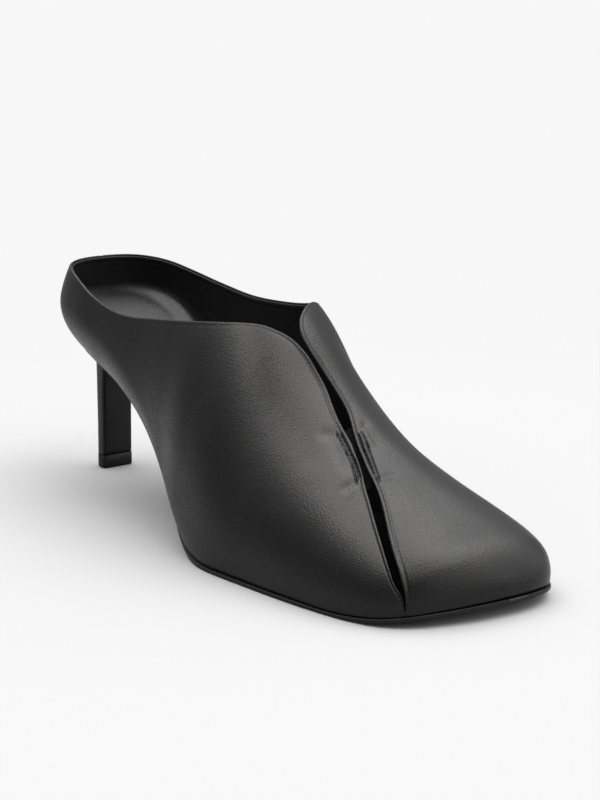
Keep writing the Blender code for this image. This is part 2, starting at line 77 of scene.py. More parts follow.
sky = bpy.data.worlds.new("studio")
sky.use_nodes = True
bpy.context.scene.world = sky
sky_nodes = sky.node_tree.nodes
sky_links = sky.node_tree.links
sky_nodes.clear()
sky_out = sky_nodes.new("ShaderNodeOutputWorld")
sky_mix = sky_nodes.new("ShaderNodeMixShader")
sky_path = sky_nodes.new("ShaderNodeLightPath")
sky_where = sky_nodes.new("ShaderNodeTexCoord")


def facing(direction):
    """Cosine of the angle between a ray into the surroundings and a direction."""
    dot = sky_nodes.new("ShaderNodeVectorMath")
    dot.operation = "DOT_PRODUCT"
    dot.inputs[1].default_value = direction
    sky_links.new(sky_where.outputs["Generated"], dot.inputs[0])
    return dot.outputs["Value"]


def soft_step(tree, value, span, top=1.0):
    """Smooth step of a value over a span, from 0 up to a top."""
    step = tree.nodes.new("ShaderNodeMapRange")
    step.interpolation_type = "SMOOTHSTEP"
    step.inputs["From Min"].default_value, step.inputs["From Max"].default_value = span
    step.inputs["To Max"].default_value = top
    tree.links.new(value, step.inputs["Value"])
    return step.outputs["Result"]


sky_height = sky_nodes.new("ShaderNodeMapRange")
sky_height.inputs["From Min"].default_value = -1.0
sky_ramp = sky_nodes.new("ShaderNodeValToRGB")
sky_ramp.color_ramp.interpolation = "LINEAR"
for number, (cosine, value) in enumerate(SKY_STEPS):
    stops = sky_ramp.color_ramp.elements
    spot = (cosine + 1) / 2
    stop = stops[number] if number < 2 else stops.new(spot)
    stop.position = spot
    stop.color = (value / SKY_TOP, value / SKY_TOP, value / SKY_TOP, 1.0)
gap_mix = sky_nodes.new("ShaderNodeMix")
gap_mix.data_type = "RGBA"
gap_mix.inputs["B"].default_value = (0.0, 0.0, 0.0, 1.0)
sky_room = sky_nodes.new("ShaderNodeBackground")
sky_room.inputs["Strength"].default_value = SKY_TOP
side_glow = sky_nodes.new("ShaderNodeBackground")
sky_sum = sky_nodes.new("ShaderNodeAddShader")
sky_seen = sky_nodes.new("ShaderNodeBackground")
sky_seen.inputs["Color"].default_value = (WHITE, WHITE, WHITE, 1.0)
sky_links.new(facing(SKY_AXIS), sky_height.inputs["Value"])
sky_links.new(sky_height.outputs["Result"], sky_ramp.inputs["Fac"])
lamp_gap = soft_step(sky.node_tree, facing(LAMP_GAP), GAP_SPAN, GAP_SHADE)
sky_links.new(lamp_gap, gap_mix.inputs["Factor"])
sky_links.new(sky_ramp.outputs["Color"], gap_mix.inputs["A"])
sky_links.new(gap_mix.outputs["Result"], sky_room.inputs["Color"])
side_level = soft_step(sky.node_tree, facing(SIDE_LIGHT), SIDE_SPAN, SIDE_STRENGTH)
sky_links.new(side_level, side_glow.inputs["Strength"])
sky_links.new(sky_room.outputs[0], sky_sum.inputs[0])
sky_links.new(side_glow.outputs[0], sky_sum.inputs[1])
sky_links.new(sky_path.outputs["Is Camera Ray"], sky_mix.inputs["Fac"])
sky_links.new(sky_sum.outputs[0], sky_mix.inputs[1])
sky_links.new(sky_seen.outputs[0], sky_mix.inputs[2])
sky_links.new(sky_mix.outputs[0], sky_out.inputs["Surface"])

floor_mesh = bpy.data.meshes.new("floor")
floor_work = bmesh.new()
bmesh.ops.create_circle(floor_work, cap_ends=True, segments=96, radius=FLOOR_RADIUS)
floor_work.to_mesh(floor_mesh)
floor_work.free()
floor_stage = bpy.data.objects.new("floor", floor_mesh)
bpy.context.scene.collection.objects.link(floor_stage)
floor_paint = bpy.data.materials.new("floor_paint")
floor_paint.use_nodes = True
paint_nodes = floor_paint.node_tree.nodes
paint_links = floor_paint.node_tree.links
paint_base = paint_nodes["Principled BSDF"]
paint_base.inputs["Roughness"].default_value = 0.8
paint_base.inputs["Specular IOR Level"].default_value = 0.0
paint_glow = paint_nodes.new("ShaderNodeEmission")
paint_path = paint_nodes.new("ShaderNodeLightPath")
paint_level = paint_nodes.new("ShaderNodeMapRange")
paint_level.inputs["To Min"].default_value = MIRRORED_FAR
paint_level.inputs["To Max"].default_value = WHITE
paint_links.new(paint_path.outputs["Is Camera Ray"], paint_level.inputs["Value"])
paint_links.new(paint_level.outputs["Result"], paint_glow.inputs["Strength"])
paint_tone = paint_nodes.new("ShaderNodeMapRange")
paint_tone.inputs["To Min"].default_value = NEAR_FLOOR
paint_tone.inputs["To Max"].default_value = MIRRORED_NEAR
paint_links.new(paint_path.outputs["Is Glossy Ray"], paint_tone.inputs["Value"])
paint_links.new(paint_tone.outputs["Result"], paint_base.inputs["Base Color"])
paint_mix = paint_nodes.new("ShaderNodeMixShader")
paint_where = paint_nodes.new("ShaderNodeTexCoord")
paint_reach = paint_nodes.new("ShaderNodeVectorMath")
paint_reach.operation = "LENGTH"
paint_links.new(paint_where.outputs["Object"], paint_reach.inputs[0])
paint_far = soft_step(floor_paint.node_tree, paint_reach.outputs["Value"], FLOOR_SPAN)
paint_links.new(paint_far, paint_mix.inputs["Fac"])
paint_links.new(paint_base.outputs[0], paint_mix.inputs[1])
paint_links.new(paint_glow.outputs[0], paint_mix.inputs[2])
paint_links.new(paint_mix.outputs[0], paint_nodes["Material Output"].inputs["Surface"])
floor_mesh.materials.append(floor_paint)

# Upper. Two panels of smooth black leather with a black lining, drawn over the last and
# folded round their edges. They meet over the foot along a slit that runs to the outer toe
# corner, and close again at the centre back seam.
LENGTH = 0.2433
BALL_WIDTH = 0.083
COLLAR_HEIGHT = 0.084
WALL = 0.0017
NOSE_LENGTH = 0.0110
NOSE_SQUARENESS = 2.3
RIDGE_SOFTNESS = 0.16
CUP_LENGTH = 0.0300
SLIT_END_RISE = 0.0016
CENTRE = (-0.0028171, 0.1225068)
FOLD_REACH = 0.0006         # how far the folded edge rounds over
BACK_SEAM_WIDTH = 0.0007
BACK_SEAM_DEPTH = 0.00025
OUTER_ROWS = 44             # from the feather line to the edge band
RIB_SAMPLES = 260
RIB_CROWDING = 1.3          # draws the samples toward the feather line
# Rows of the edge band, distances from the fold
EDGE_ROWS = np.concatenate([np.arange(0, 0.66, 0.1), np.arange(0.75, 4.4, 0.2), (4.6, 5.0, 5.6, 6.4)]) / 1000
BEAD_AT = 0.00115           # pressed line beside the fold
BEAD_WIDTH = 0.00045
BEAD_DEPTH = 0.00030
LIP_WIDTH = 0.00070         # the fold itself stands a little proud
LIP_RISE = 0.00022
ROLL_FROM = 0.138           # the edge is rolled along the slit, and nearly flat along the collar
ROLL_FADE = 0.016
COLLAR_ROLL = 0.12

OUTLINE_LATERAL = (
    (0.0000, 0.0000),
    (0.0049, -0.1084),
    (0.0247, -0.2289),
    (0.0658, -0.3108),
    (0.1315, -0.3494),
    (0.2261, -0.3614),
    (0.3494, -0.3880),
    (0.4316, -0.4361),
    (0.5138, -0.5096),
    (0.6042, -0.5470),
    (0.7069, -0.5277),
    (0.8138, -0.4892),
    (0.8919, -0.4398),
    (0.9330, -0.3880),
    (0.9638, -0.2964),
    (0.9831, -0.1687),
    (0.9947, -0.0361),
    (1.0000, 0.0964),
)
OUTLINE_MEDIAL = (
    (0.0000, 0.0000),
    (0.0049, 0.1084),
    (0.0247, 0.2289),
    (0.0658, 0.3108),
    (0.1315, 0.3494),
    (0.2261, 0.3554),
    (0.3494, 0.3494),
    (0.4521, 0.3675),
    (0.5549, 0.4157),
    (0.6494, 0.4627),
    (0.7398, 0.4795),
    (0.8220, 0.4795),
    (0.8796, 0.4735),
    (0.9268, 0.4470),
    (0.9626, 0.3952),
    (0.9873, 0.3169),
    (0.9984, 0.2169),
    (1.0000, 0.0964),
)
SECTION_COLUMNS = ("along", "ridge_across", "ridge_up", "feather_up", "tuck", "tuck_up", "squareness",
                   "squareness_medial")
SECTIONS = (
    (0.0000, 0.0000, 1.2024, 0.6429, 0.1071, 0.2381, 2.2000, 2.2000),
    (0.1110, 0.0000, 1.2024, 0.6071, 0.1071, 0.2381, 2.2000, 2.2000),
    (0.2055, 0.0000, 1.2024, 0.5417, 0.0952, 0.2262, 2.2000, 2.2000),
    (0.3000, 0.0000, 1.2024, 0.4345, 0.0774, 0.2143, 2.2000, 2.2000),
    (0.3864, 0.0000, 1.1905, 0.2917, 0.0595, 0.1905, 2.2000, 2.2000),
    (0.4644, 0.0000, 1.1429, 0.1429, 0.0417, 0.1667, 2.1500, 2.2000),
    (0.5343, 0.0000, 1.0536, 0.0452, 0.0262, 0.1429, 2.1000, 2.3200),
    (0.5960, 0.0000, 0.9167, 0.0226, 0.0048, 0.1190, 2.1000, 1.8000),
    (0.6576, 0.0000, 0.7381, 0.0202, 0.0048, 0.1071, 2.1000, 1.7400),
    (0.7275, 0.0000, 0.5893, 0.0202, 0.0048, 0.0952, 2.1500, 1.7400),
    (0.8015, 0.0120, 0.4762, 0.0202, 0.0048, 0.0833, 2.3000, 1.9000),
    (0.8755, 0.0361, 0.3750, 0.0202, 0.0048, 0.0714, 2.5000, 2.2500),
    (0.9371, 0.0723, 0.2976, 0.0381, 0.0048, 0.0595, 2.7000, 2.6000),
    (1.0000, 0.0964, 0.2381, 0.0738, 0.0048, 0.0595, 2.8000, 2.9000),
)
COLLAR_COLUMNS = ("base_share", "up")
COLLAR_LATERAL = (
    (0, 1.0024),
    (0.0730, 1.0000),
    (0.1340, 0.9881),
    (0.1900, 0.9524),
    (0.2320, 0.9119),
    (0.2750, 0.8810),
    (0.3150, 0.8667),
    (0.3570, 0.8690),
    (0.4000, 0.8833),
    (0.4750, 0.9095),
    (0.5480, 0.9357),
    (0.5850, 0.9452),
)
COLLAR_MEDIAL = (
    (0, 1.0024),
    (0.0600, 0.9976),
    (0.1250, 0.9738),
    (0.1800, 0.9452),
    (0.2430, 0.9202),
    (0.3000, 0.9095),
    (0.3700, 0.9238),
    (0.4200, 0.9464),
    (0.4500, 0.9667),
)
SLIT_COLUMNS = ("base_share", "along", "across")
SLIT_LATERAL = (
    (0.6340, 0.5820, -0.1373),
    (0.6570, 0.6062, -0.0807),
    (0.6720, 0.6227, -0.0578),
    (0.6970, 0.6453, -0.0482),
    (0.7140, 0.6642, -0.0482),
    (0.7350, 0.6885, -0.0663),
    (0.7550, 0.7111, -0.0843),
    (0.7740, 0.7337, -0.0952),
    (0.7900, 0.7480, -0.1024),
    (0.8080, 0.7665, -0.1205),
    (0.8380, 0.7974, -0.1578),
    (0.8530, 0.8138, -0.1831),
    (0.8800, 0.8418, -0.2205),
    (0.9080, 0.8693, -0.2578),
    (0.9420, 0.9022, -0.2988),
    (0.9670, 0.9268, -0.3265),
    (0.9840, 0.9433, -0.3361),
    (1.0000, 0.9593, -0.3181),
)
SLIT_MEDIAL = (
    (0.4640, 0.5368, 0.1807),
    (0.4730, 0.5471, 0.1349),
    (0.4810, 0.5590, 0.0831),
    (0.4890, 0.5697, 0.0410),
    (0.5000, 0.5828, -0.0048),
    (0.5090, 0.5935, -0.0277),
    (0.5200, 0.6062, -0.0398),
    (0.5330, 0.6219, -0.0373),
    (0.5470, 0.6371, -0.0289),
    (0.5620, 0.6576, -0.0193),
    (0.5850, 0.6815, -0.0169),
    (0.6030, 0.7004, -0.0229),
    (0.6200, 0.7180, -0.0410),
    (0.6350, 0.7337, -0.0627),
    (0.6550, 0.7497, -0.0819),
    (0.6750, 0.7698, -0.1024),
    (0.7150, 0.7974, -0.1313),
    (0.7420, 0.8200, -0.1518),
    (0.7900, 0.8487, -0.1855),
    (0.8350, 0.8775, -0.2289),
    (0.8800, 0.9022, -0.2663),
    (0.9200, 0.9207, -0.2904),
    (0.9600, 0.9392, -0.3096),
    (0.9850, 0.9515, -0.3181),
    (1.0000, 0.9593, -0.3181),
)
RUNS_LATERAL = ((0.0, 0.004, 5), (0.004, 0.20, 44), (0.20, 0.585, 60), (0.585, 0.689, 40),
                (0.689, 0.776, 52), (0.776, 0.846, 30), (0.846, 0.965, 28), (0.965, 1.0, 16))
RUNS_MEDIAL = ((0.0, 0.004, 5), (0.004, 0.16, 44), (0.16, 0.45, 50), (0.45, 0.543, 40),
               (0.543, 0.637, 52), (0.637, 0.733, 34), (0.733, 0.96, 44), (0.96, 1.0, 16))
# Soft troughs pressed into both panels, and ridges where the depth is negative, in metres on
# the plan: along, across, along_end, across_end, width, depth
CREASES = (
    (0.1772, -0.0106, 0.1845, -0.0123, 0.00042, 0.00080),
    (0.1845, -0.0123, 0.1896, -0.0138, 0.00042, 0.00080),
    (0.1896, -0.0138, 0.1958, -0.0168, 0.00042, 0.00080),
    (0.1780, -0.0097, 0.1886, -0.0121, 0.00040, 0.00075),
    (0.1886, -0.0121, 0.1950, -0.0148, 0.00040, 0.00075),
    (0.1791, -0.0039, 0.1855, -0.0063, 0.00040, 0.00075),
    (0.1855, -0.0063, 0.1960, -0.0098, 0.00040, 0.00075),
    (0.1796, -0.0023, 0.1844, -0.0038, 0.00042, 0.00080),
    (0.1844, -0.0038, 0.1984, -0.0097, 0.00042, 0.00080),
    (0.1785, -0.0010, 0.1850, -0.0026, 0.00110, -0.00022),
    (0.1788, -0.0106, 0.1950, -0.0157, 0.00040, -0.00018),
    (0.1795, -0.0031, 0.1965, -0.0093, 0.00040, -0.00018),
    (0.1768, -0.0112, 0.1750, -0.0150, 0.00190, 0.00055),
    (0.1790, -0.0135, 0.1880, -0.0165, 0.00200, 0.00050),
    (0.1958, -0.0172, 0.1953, -0.0212, 0.00130, 0.00050),
    (0.1968, -0.0178, 0.1985, -0.0220, 0.00100, -0.00020),
    (0.1986, -0.0092, 0.1985, -0.0050, 0.00130, 0.00060),
    (0.1788, -0.0020, 0.1765, 0.0015, 0.00120, 0.00030),
    (0.1870, -0.0120, 0.1900, -0.0130, 0.00500, 0.00030),
    (0.1870, -0.0050, 0.1920, -0.0070, 0.00500, 0.00030),
)


def table_value(table, columns, name, where):
    """Smooth value of one named column of a table, found along its first column."""
    rows = np.array(table, float)
    xp = rows[:, 0]
    yp = rows[:, columns.index(name)]
    slope = np.gradient(yp, xp)
    x = np.clip(np.asarray(where, float), xp[0], xp[-1])
    i = np.clip(np.searchsorted(xp, x, side="right") - 1, 0, len(xp) - 2)
    h = xp[i + 1] - xp[i]
    t = (x - xp[i]) / h
    start = (2 * t**3 - 3 * t**2 + 1) * yp[i] + (t**3 - 2 * t**2 + t) * h * slope[i]
    end = (3 * t**2 - 2 * t**3) * yp[i + 1] + (t**3 - t**2) * h * slope[i + 1]
    return start + end


def section(name, along):
    """Column of the section table in metres, or plain for the squareness."""
    value = table_value(SECTIONS, SECTION_COLUMNS, name, np.asarray(along, float) / LENGTH)
    plain = name.startswith("squareness")
    return value if plain else value * (BALL_WIDTH if name == "ridge_across" else COLLAR_HEIGHT)


def smooth_path(points, steps=24):
    """Centripetal curve through plan points."""
    p = np.array(points, float)
    p = np.vstack([2 * p[0] - p[1], p, 2 * p[-1] - p[-2]])
    path = []
    for i in range(1, len(p) - 2):
        p0, p1, p2, p3 = p[i - 1:i + 3]
        t1 = np.linalg.norm(p1 - p0) ** 0.5
        t2 = t1 + np.linalg.norm(p2 - p1) ** 0.5
        t3 = t2 + np.linalg.norm(p3 - p2) ** 0.5
        for t in np.linspace(t1, t2, steps, endpoint=False):
            a1 = (t1 - t) / t1 * p0 + t / t1 * p1
            a2 = (t2 - t) / (t2 - t1) * p1 + (t - t1) / (t2 - t1) * p2
            a3 = (t3 - t) / (t3 - t2) * p2 + (t - t2) / (t3 - t2) * p3
            b1 = (t2 - t) / t2 * a1 + t / t2 * a2
            b2 = (t3 - t) / (t3 - t1) * a2 + (t - t1) / (t3 - t1) * a3
            path.append((t2 - t) / (t2 - t1) * b1 + (t - t1) / (t2 - t1) * b2)
    path.append(p[-2])
    return np.array(path)


outline = smooth_path([(a * LENGTH, x * BALL_WIDTH) for a, x in OUTLINE_LATERAL[::-1] + OUTLINE_MEDIAL[1:]])
outline_back = int(np.argmin(outline[:, 0]))
LATERAL_PATH = outline[:outline_back + 1][::-1]
MEDIAL_PATH = outline[outline_back:]


def half_outline(along, side):
    """Across position of the widest contour on one side."""
    path = LATERAL_PATH if side < 0 else MEDIAL_PATH
    return np.interp(along, np.maximum.accumulate(path[:, 0]), path[:, 1])


def rise_at(along, across):
    """Height of the outer face over the feather line at a plan point."""
    ridge = section("ridge_across", along)
    full = section("ridge_up", along) - section("feather_up", along)
    back_power = section("squareness", along)
    width = np.where(across < ridge, ridge - half_outline(along, -1), half_outline(along, 1) - ridge)
    share = np.clip(np.abs(across - ridge) / np.maximum(width, 1e-6), 0, 1)
    medial = (across > ridge) * (1 - np.exp(-(share / RIDGE_SOFTNESS) ** 2))
    power = back_power + medial * (section("squareness_medial", along) - back_power)
    nose = np.clip((along - (LENGTH - NOSE_LENGTH)) / NOSE_LENGTH, 0, 1)
    cup = np.clip(1 - along / CUP_LENGTH, 0, 1)
    shape = (1 - share**power) ** (1 / power)
    shape = shape * (1 - nose**NOSE_SQUARENESS) ** (1 / NOSE_SQUARENESS)
    return full * shape * (1 - cup**back_power) ** (1 / back_power)


def tuck_at(rise, along):
    """How far the wall is drawn in under its widest place."""
    return section("tuck", along) * np.clip(1 - rise / section("tuck_up", along), 0, 1) ** 2


def path_outward(path, side):
    """Outward plan directions along a side path."""
    tangent = np.gradient(path, axis=0)
    tangent /= np.linalg.norm(tangent, axis=1)[:, None]
    return np.stack([-tangent[:, 1], tangent[:, 0]], -1) * (1 if side > 0 else -1)


def plan_at_height(base, height):
    """Plan point inward of a base point where the outer face reaches a height."""
    along = max(base[0], CUP_LENGTH)
    target = np.array([along, float(section("ridge_across", along))])
    low, high = 0.0, 1.0
    for _ in range(36):
        mid = (low + high) / 2
        point = base + (target - base) * mid
        if section("feather_up", point[0]) + rise_at(point[0], point[1]) < height:
            low = mid
        else:
            high = mid
    return base + (target - base) * low


def panel_ribs(side, runs):
    """Outer-face points of one panel, a rib for each base share from the back to the slit end."""
    path = LATERAL_PATH if side < 0 else np.vstack([MEDIAL_PATH, LATERAL_PATH[::-1][1:]])
    collar = COLLAR_LATERAL if side < 0 else COLLAR_MEDIAL
    slit = SLIT_LATERAL if side < 0 else SLIT_MEDIAL
    arc = np.concatenate([[0], np.cumsum(np.linalg.norm(np.diff(path, axis=0), axis=1))])
    end = np.array([slit[-1][1] * LENGTH, slit[-1][2] * BALL_WIDTH])
    arc /= arc[int(np.argmin(np.linalg.norm(path - end, axis=1)))]
    out = path_outward(path, side)

    def base_at(share):
        return np.array([np.interp(share, arc, path[:, k]) for k in range(2)])

    last = collar[-1][0]
    rows = []
    for early in (0.06, 0.03, 0.0):
        up = float(table_value(collar, COLLAR_COLUMNS, "up", last - early)) * COLLAR_HEIGHT
        rows.append((last - early, *plan_at_height(base_at(last - early), up)))
    rows += [(s, a * LENGTH, x * BALL_WIDTH) for s, a, x in slit]
    ribs = []
    shares = [s for start, stop, count in runs for s in np.linspace(start, stop, count, endpoint=False)]
    for share in shares + [1.0]:
        base = base_at(share)
        if share == 1.0:
            top = plan_at_height(base, float(section("feather_up", base[0])) + SLIT_END_RISE)
        elif share <= last:
            up = float(table_value(collar, COLLAR_COLUMNS, "up", share)) * COLLAR_HEIGHT
            top = plan_at_height(base, up)
        else:
            top = np.array([float(table_value(rows, SLIT_COLUMNS, k, share)) for k in ("along", "across")])
        spread = (1 - np.cos(np.linspace(0, math.pi / 2, RIB_SAMPLES))) ** RIB_CROWDING
        plan = base + (top - base) * spread[:, None]
        rise = rise_at(plan[:, 0], plan[:, 1])
        rise[0] = 0.0
        up = section("feather_up", plan[:, 0]) + rise
        outward = np.array([np.interp(share, arc, out[:, k]) for k in range(2)])
        plan = plan - outward * tuck_at(rise, plan[:, 0])[:, None]
        line = np.column_stack([plan[:, 1], plan[:, 0], up])
        walked = np.concatenate([[0], np.cumsum(np.linalg.norm(np.diff(line, axis=0), axis=1))])
        reach = max(walked[-1] - FOLD_REACH, 0.3 * walked[-1])
        near = np.minimum(EDGE_ROWS, 0.5 * reach * np.linspace(0, 1, len(EDGE_ROWS)))
        even = np.concatenate([np.linspace(0, reach - near[-1], OUTER_ROWS), reach - near[-2::-1]])
        ribs.append(np.column_stack([np.interp(even, walked, line[:, k]) for k in range(3)]))
    return ribs


def crease_depth(points):
    """Depth of the soft troughs at outer-face points (across, along, up)."""
    depth = np.zeros(points.shape[:-1])
    for a0, x0, a1, x1, width, deep in CREASES:
        way = np.array([x1 - x0, a1 - a0])
        rel = points[..., :2] - np.array([x0, a0])
        share = np.clip((rel @ way) / (way @ way), 0, 1)
        gap = np.linalg.norm(rel - share[..., None] * way, axis=-1)
        depth += deep * np.exp(-(gap / width) ** 2)
    return depth


lateral_ribs = panel_ribs(-1, RUNS_LATERAL)
medial_ribs = panel_ribs(1, RUNS_MEDIAL)
face = np.array(lateral_ribs[::-1] + medial_ribs[1:-1])
round_way = np.roll(face, -1, axis=0) - np.roll(face, 1, axis=0)
face_normal = np.cross(round_way, np.gradient(face, axis=1))
face_normal /= np.linalg.norm(face_normal, axis=2)[..., None]
if (face_normal[:, 4, 0] * face[:, 4, 0]).sum() < 0:
    face_normal = -face_normal
# The seam is pressed in only at the very back of the cup
seam_gap = np.abs(face[..., 0]) + 10 * np.clip(face[..., 1] - 0.02, 0, 1)
pressed = crease_depth(face) + BACK_SEAM_DEPTH * np.exp(-(seam_gap / BACK_SEAM_WIDTH) ** 2)
steps_up = np.linalg.norm(np.diff(face, axis=1), axis=2)
from_edge = np.concatenate([np.cumsum(steps_up[:, ::-1], axis=1)[:, ::-1], np.zeros((len(face), 1))], axis=1)
roll = np.clip((face[:, -1:, 1] - ROLL_FROM) / ROLL_FADE, COLLAR_ROLL, 1)
pressed += roll * BEAD_DEPTH * np.exp(-((from_edge - BEAD_AT) / BEAD_WIDTH) ** 2)
pressed -= roll * LIP_RISE * np.exp(-(from_edge / LIP_WIDTH) ** 2)
face = face - face_normal * pressed[..., None]

# Section over the folded edge, metres: in from the outer face, up from where the fold starts.
# The leather folds over first, a fine groove follows, and the lining ends a little lower.
RIM = ((0.00006, 0.00020), (0.00016, 0.00036), (0.00030, 0.00050), (0.00046, 0.00058), (0.00062, 0.00058),
       (0.00077, 0.00050), (0.00088, 0.00034), (0.00095, 0.00012), (0.00099, -0.00012), (0.00103, -0.00016),
       (0.00107, -0.00004), (0.00114, 0.00012), (0.00126, 0.00019), (0.00140, 0.00019), (0.00153, 0.00012),
       (0.00163, -0.00002), (0.00169, -0.00022))
RIM_WALL = 0.0017           # wall that the section is drawn for
RIM_LEATHER = 9             # points of it that are still outer leather
SHORT_WALL = 0.012          # the fold gets lower where the wall is lower than this
# Lining under the edge: distance down the wall, share of the wall thickness
LINING_STEPS = ((0.0006, 1.00), (0.0010, 1.00), (0.0014, 0.99), (0.0017, 0.92), (0.0019, 0.88),
                (0.0021, 0.91), (0.0024, 0.95), (0.0030, 0.96), (0.0045, 0.96), (0.0065, 0.96),
                (0.0090, 0.96))
LINING_TAIL = np.linspace(0.10, 1.0, 16)
LINING_SHARE = 0.96
rings = []
for rib, normal in zip(face, face_normal):
    walked = np.concatenate([[0], np.cumsum(np.linalg.norm(np.diff(rib, axis=0), axis=1))])
    total = walked[-1]
    tip, way, n = rib[-1], rib[-1] - rib[-3], normal[-1]
    way = way - n * (way @ n)
    way /= np.linalg.norm(way)
    squeeze = min(1.0, total / SHORT_WALL)
    ring = list(rib) + [tip - n * inward * WALL / RIM_WALL + way * rise * squeeze for inward, rise in RIM]
    steps = [(d * squeeze, share) for d, share in LINING_STEPS]
    start = steps[-1][0]
    steps += [(start + (total - start) * t, LINING_SHARE) for t in LINING_TAIL]
    for distance, share in steps:
        at = total - distance
        point = np.array([np.interp(at, walked, rib[:, k]) for k in range(3)])
        n_at = np.array([np.interp(at, walked, normal[:, k]) for k in range(3)])
        ring.append(point - n_at * WALL * share)
    ring[-1] = np.array([ring[-1][0], ring[-1][1], rib[0][2]])
    rings.append(ring)
rings = np.array(rings)


def place(points):
    """Shoe measures (across, along, up) to the shared frame."""
    points = np.asarray(points, float)
    return np.stack([points[..., 0] - CENTRE[0], CENTRE[1] - points[..., 1], points[..., 2]], -1)


def make_object(name, verts, faces, materials, pick=None):
    """Smooth mesh object with its faces turned outward."""
    mesh = bpy.data.meshes.new(name)
    mesh.from_pydata(np.asarray(verts).tolist(), [], faces)
    for material in materials:
        mesh.materials.append(material)
    if pick is not None:
        mesh.polygons.foreach_set("material_index", pick)
    work = bmesh.new()
    work.from_mesh(mesh)
    bmesh.ops.recalc_face_normals(work, faces=work.faces)
    work.to_mesh(mesh)
    work.free()
    mesh.shade_smooth()
    made = bpy.data.objects.new(name, mesh)
    bpy.context.scene.collection.objects.link(made)
    return made


FUZZ_SCALE = 0.8            # finest marks, in grains
FUZZ_SHARE = 0.9
GRAIN_DEPTH = 0.3           # of the grain's own size
PULL_SCALE = 45.0           # broad pull marks, per metre
PULL_STRENGTH = 0.35
PULL_DEPTH = 0.0009
WORN_SPAN = (0.75, 1.25)
SHINE_SPREAD = (-0.08, 0.10)  # roughness of the shiniest and the dullest marks against the mean
DARK_SHARE, PALE_SHARE = 0.6, 1.5
LEATHER_SHINE = 0.33
LEATHER_TINT = (1.0, 0.972, 0.955, 1.0)


def leather(name, colour, roughness, grain, bump):
    """Black leather: fine pebbled grain, soft broad pull marks and an uneven satin polish."""
    material = bpy.data.materials.new(name)
    material.use_nodes = True
    nodes, links = material.node_tree.nodes, material.node_tree.links
    shader = nodes["Principled BSDF"]
    where = nodes.new("ShaderNodeTexCoord")
    pores = nodes.new("ShaderNodeTexVoronoi")
    pores.feature = "SMOOTH_F1"
    pores.inputs["Scale"].default_value = 1.0 / grain
    pores.inputs["Smoothness"].default_value = 0.5
    fuzz = nodes.new("ShaderNodeTexNoise")
    fuzz.inputs["Scale"].default_value = FUZZ_SCALE / grain
    fuzz.inputs["Detail"].default_value = 2.0
    pull = nodes.new("ShaderNodeTexNoise")
    pull.inputs["Scale"].default_value = PULL_SCALE
    pull.inputs["Detail"].default_value = 3.0
    add = nodes.new("ShaderNodeMath")
    add.operation = "MULTIPLY_ADD"
    add.inputs[1].default_value = FUZZ_SHARE
    for texture in (pores, fuzz, pull):
        links.new(where.outputs["Object"], texture.inputs["Vector"])
    links.new(fuzz.outputs["Fac"], add.inputs[0])
    links.new(pores.outputs["Distance"], add.inputs[2])
    fine = nodes.new("ShaderNodeBump")
    fine.inputs["Strength"].default_value = bump
    fine.inputs["Distance"].default_value = grain * GRAIN_DEPTH
    links.new(add.outputs[0], fine.inputs["Height"])
    broad = nodes.new("ShaderNodeBump")
    broad.inputs["Strength"].default_value = PULL_STRENGTH
    broad.inputs["Distance"].default_value = PULL_DEPTH
    links.new(pull.outputs["Fac"], broad.inputs["Height"])
    links.new(fine.outputs["Normal"], broad.inputs["Normal"])
    links.new(broad.outputs["Normal"], shader.inputs["Normal"])
    worn = nodes.new("ShaderNodeMath")
    worn.operation = "ADD"
    links.new(fuzz.outputs["Fac"], worn.inputs[0])
    links.new(pull.outputs["Fac"], worn.inputs[1])
    polish = nodes.new("ShaderNodeMapRange")
    polish.inputs["From Min"].default_value, polish.inputs["From Max"].default_value = WORN_SPAN
    polish.inputs["To Min"].default_value = roughness + SHINE_SPREAD[0]
    polish.inputs["To Max"].default_value = roughness + SHINE_SPREAD[1]
    links.new(worn.outputs[0], polish.inputs["Value"])
    links.new(polish.outputs["Result"], shader.inputs["Roughness"])
    tone = nodes.new("ShaderNodeMix")
    tone.data_type = "RGBA"
    tone.inputs["A"].default_value = (*[c * DARK_SHARE for c in colour], 1.0)
    tone.inputs["B"].default_value = (*[c * PALE_SHARE for c in colour], 1.0)
    links.new(add.outputs[0], tone.inputs["Factor"])
    links.new(tone.outputs["Result"], shader.inputs["Base Color"])
    shader.inputs["Specular IOR Level"].default_value = LEATHER_SHINE
    shader.inputs["Specular Tint"].default_value = LEATHER_TINT
    return material


upper_leather = leather("upper_leather", (0.0026, 0.0025, 0.0025), 0.285, 0.00050, 0.50)
lining_leather = leather("lining_leather", (0.0050, 0.0050, 0.0050), 0.55, 0.0008, 0.15)

count, steps_round = rings.shape[:2]
upper_faces = []
upper_pick = []
lining_from = OUTER_ROWS + len(EDGE_ROWS) - 1 + RIM_LEATHER
for i in range(count):
    here, after = i * steps_round, (i + 1) % count * steps_round
    for j in range(steps_round):
        m = (j + 1) % steps_round
        upper_faces.append((here + j, after + j, after + m, here + m))
        upper_pick.append(1 if lining_from <= j < steps_round - 1 else 0)
upper = make_object("upper_leather_shell", place(rings).reshape(-1, 3), upper_faces,
                    (upper_leather, lining_leather), upper_pick)
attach(upper, "root")
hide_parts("upper")

# Tack. A strip of elastic under the slit holds the two panels together, box stitched
# through each panel in two close rows of black thread that pull the leather in a little.
TACK_START = 0.1772
TACK_END = 0.1968
STITCH_PITCH = 0.00185
STITCH_LENGTH = 0.00110
STITCH_THICK = 0.00028
STITCH_LIFT = 0.00006
ROW_STEP = 0.001
STRIP_MIDDLE = (-0.0068, -0.0130)
